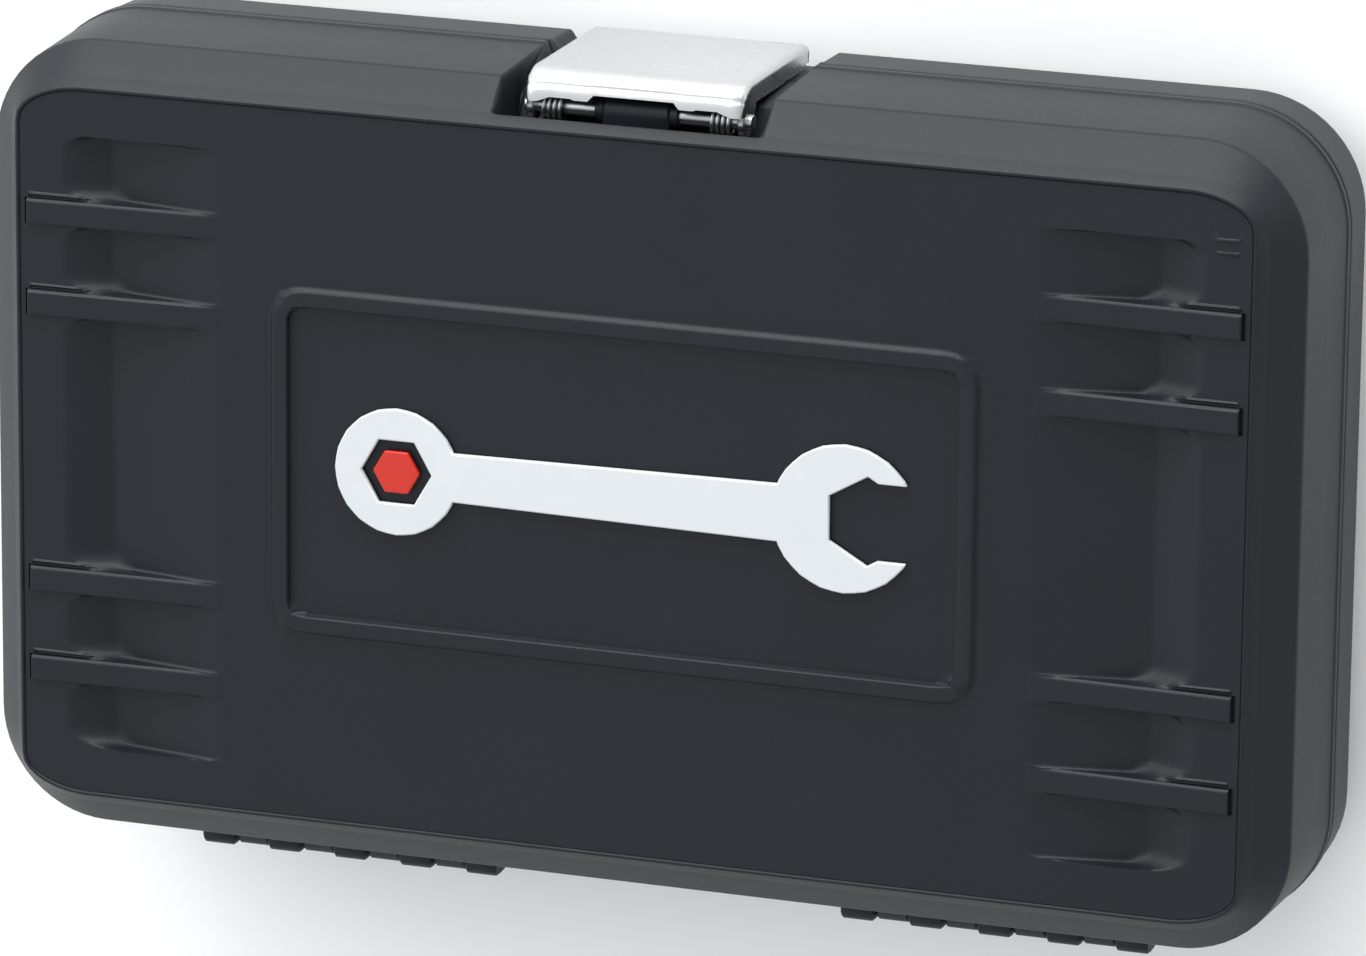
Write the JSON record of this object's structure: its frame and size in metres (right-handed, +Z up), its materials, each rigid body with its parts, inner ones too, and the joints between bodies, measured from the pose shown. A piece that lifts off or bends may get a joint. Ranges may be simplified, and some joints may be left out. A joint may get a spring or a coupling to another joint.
{
  "type": "socket wrench set in case",
  "caption": "Hinged plastic case with a snap latch, holding a ratchet, sockets, bits, extension bars, T-bar and universal joint in a moulded tray.",
  "frame": {"origin": "centre of the case's flat underside", "axes": "+X along the case, +Y towards the hinges, +Z up through the lid"},
  "size_m": [0.2, 0.1286, 0.045],
  "materials": {
    "shell": "fine grained moulded plastic",
    "tray": "smooth moulded insert",
    "foam": "soft closed-cell foam",
    "chrome": "bright plated",
    "steel": "plain steel",
    "bit_steel": "satin tool steel",
    "grip": "soft moulded grip",
    "badge_white": "smooth",
    "badge_red": "smooth"
  },
  "bodies": {
    "case_base": {"base_shell": "shell", "hinge_pin_1": "steel", "hinge_pin_2": "steel", "tray_rack_small": "tray", "tray_rack_bits": "tray", "tray_rack_large": "tray", "tray_bars": "tray", "tray_ratchet": "tray", "socket_4_mm": "chrome", "socket_4_5_mm": "chrome", "socket_5_mm": "chrome", "socket_5_5_mm": "chrome", "socket_6_mm": "chrome", "socket_7_mm": "chrome", "socket_8_mm": "chrome", "socket_9_mm": "chrome", "socket_10_mm": "chrome", "socket_11_mm": "chrome", "socket_12_mm": "chrome", "socket_13_mm": "chrome", "socket_14_mm": "chrome", "bit_slot_small": "bit_steel", "bit_slot_large": "bit_steel", "bit_cross_small": "bit_steel", "bit_cross_large": "bit_steel", "bit_star_small": "bit_steel", "bit_star_large": "bit_steel", "bit_hex_small": "bit_steel", "bit_hex_large": "bit_steel", "bit_adapter": "chrome", "extension_long": "chrome", "extension_long_ball": "steel", "extension_short": "chrome", "extension_short_ball": "steel", "ujoint_socket_yoke": "chrome", "tee_bar": "chrome", "ratchet_handle": "chrome", "ratchet_grip": "grip", "ratchet_cover": "steel", "ratchet_pawl": "steel", "cover_screw_1": "steel", "cover_screw_2": "steel"},
    "lid": {"lid_shell": "shell", "lid_pad": "foam", "badge_wrench": "badge_white", "badge_hexagon": "badge_red", "latch_pin": "steel", "latch_spring_1": "steel", "latch_spring_2": "steel"},
    "latch": {"latch_plate": "chrome"},
    "drive": {"ratchet_drive": "steel"},
    "button": {"release_button": "steel"},
    "lever": {"ratchet_lever": "chrome"},
    "tee_head": {"tee_head": "chrome"},
    "spider": {"ujoint_spider": "steel"},
    "drive_yoke": {"ujoint_drive_yoke": "chrome"}
  },
  "joints": [
    {"name": "lid_hinge", "type": "hinge", "parent": "case_base", "child": "lid", "pos_m": [0, 0.06395, 0.018], "axis": [-1, 0, 0], "range_deg": [0, 115]},
    {"name": "latch_hinge", "type": "hinge", "parent": "lid", "child": "latch", "pos_m": [0, -0.0556, 0.0364], "axis": [-1, 0, 0], "range_deg": [0, 95], "stiffness_Nm_per_rad": 0.01, "springref_deg": -28.65},
    {"name": "ratchet_drive_spin", "type": "hinge", "parent": "case_base", "child": "drive", "pos_m": [0.072, -0.0365, 0.0174], "axis": [0, 0, 1], "continuous": true},
    {"name": "ratchet_lever_turn", "type": "hinge", "parent": "case_base", "child": "lever", "pos_m": [0.072, -0.0365, 0.0234], "axis": [0, 0, 1], "range_deg": [-18, 18]},
    {"name": "release_button_press", "type": "slide", "parent": "drive", "child": "button", "axis": [0, 0, -1], "range_m": [0, 0.0015], "stiffness_N_per_m": 300, "springref_m": -0.002},
    {"name": "tee_head_slide", "type": "slide", "parent": "case_base", "child": "tee_head", "axis": [1, 0, 0], "range_m": [0, 0.04]},
    {"name": "ujoint_tilt", "type": "hinge", "parent": "case_base", "child": "spider", "pos_m": [0.062, 0.024, 0.0108], "axis": [0, -1, 0], "range_deg": [0, 60]},
    {"name": "ujoint_swing", "type": "hinge", "parent": "spider", "child": "drive_yoke", "pos_m": [0.062, 0.024, 0.0108], "axis": [0, 0, 1], "range_deg": [-20, 20]}
  ]
}
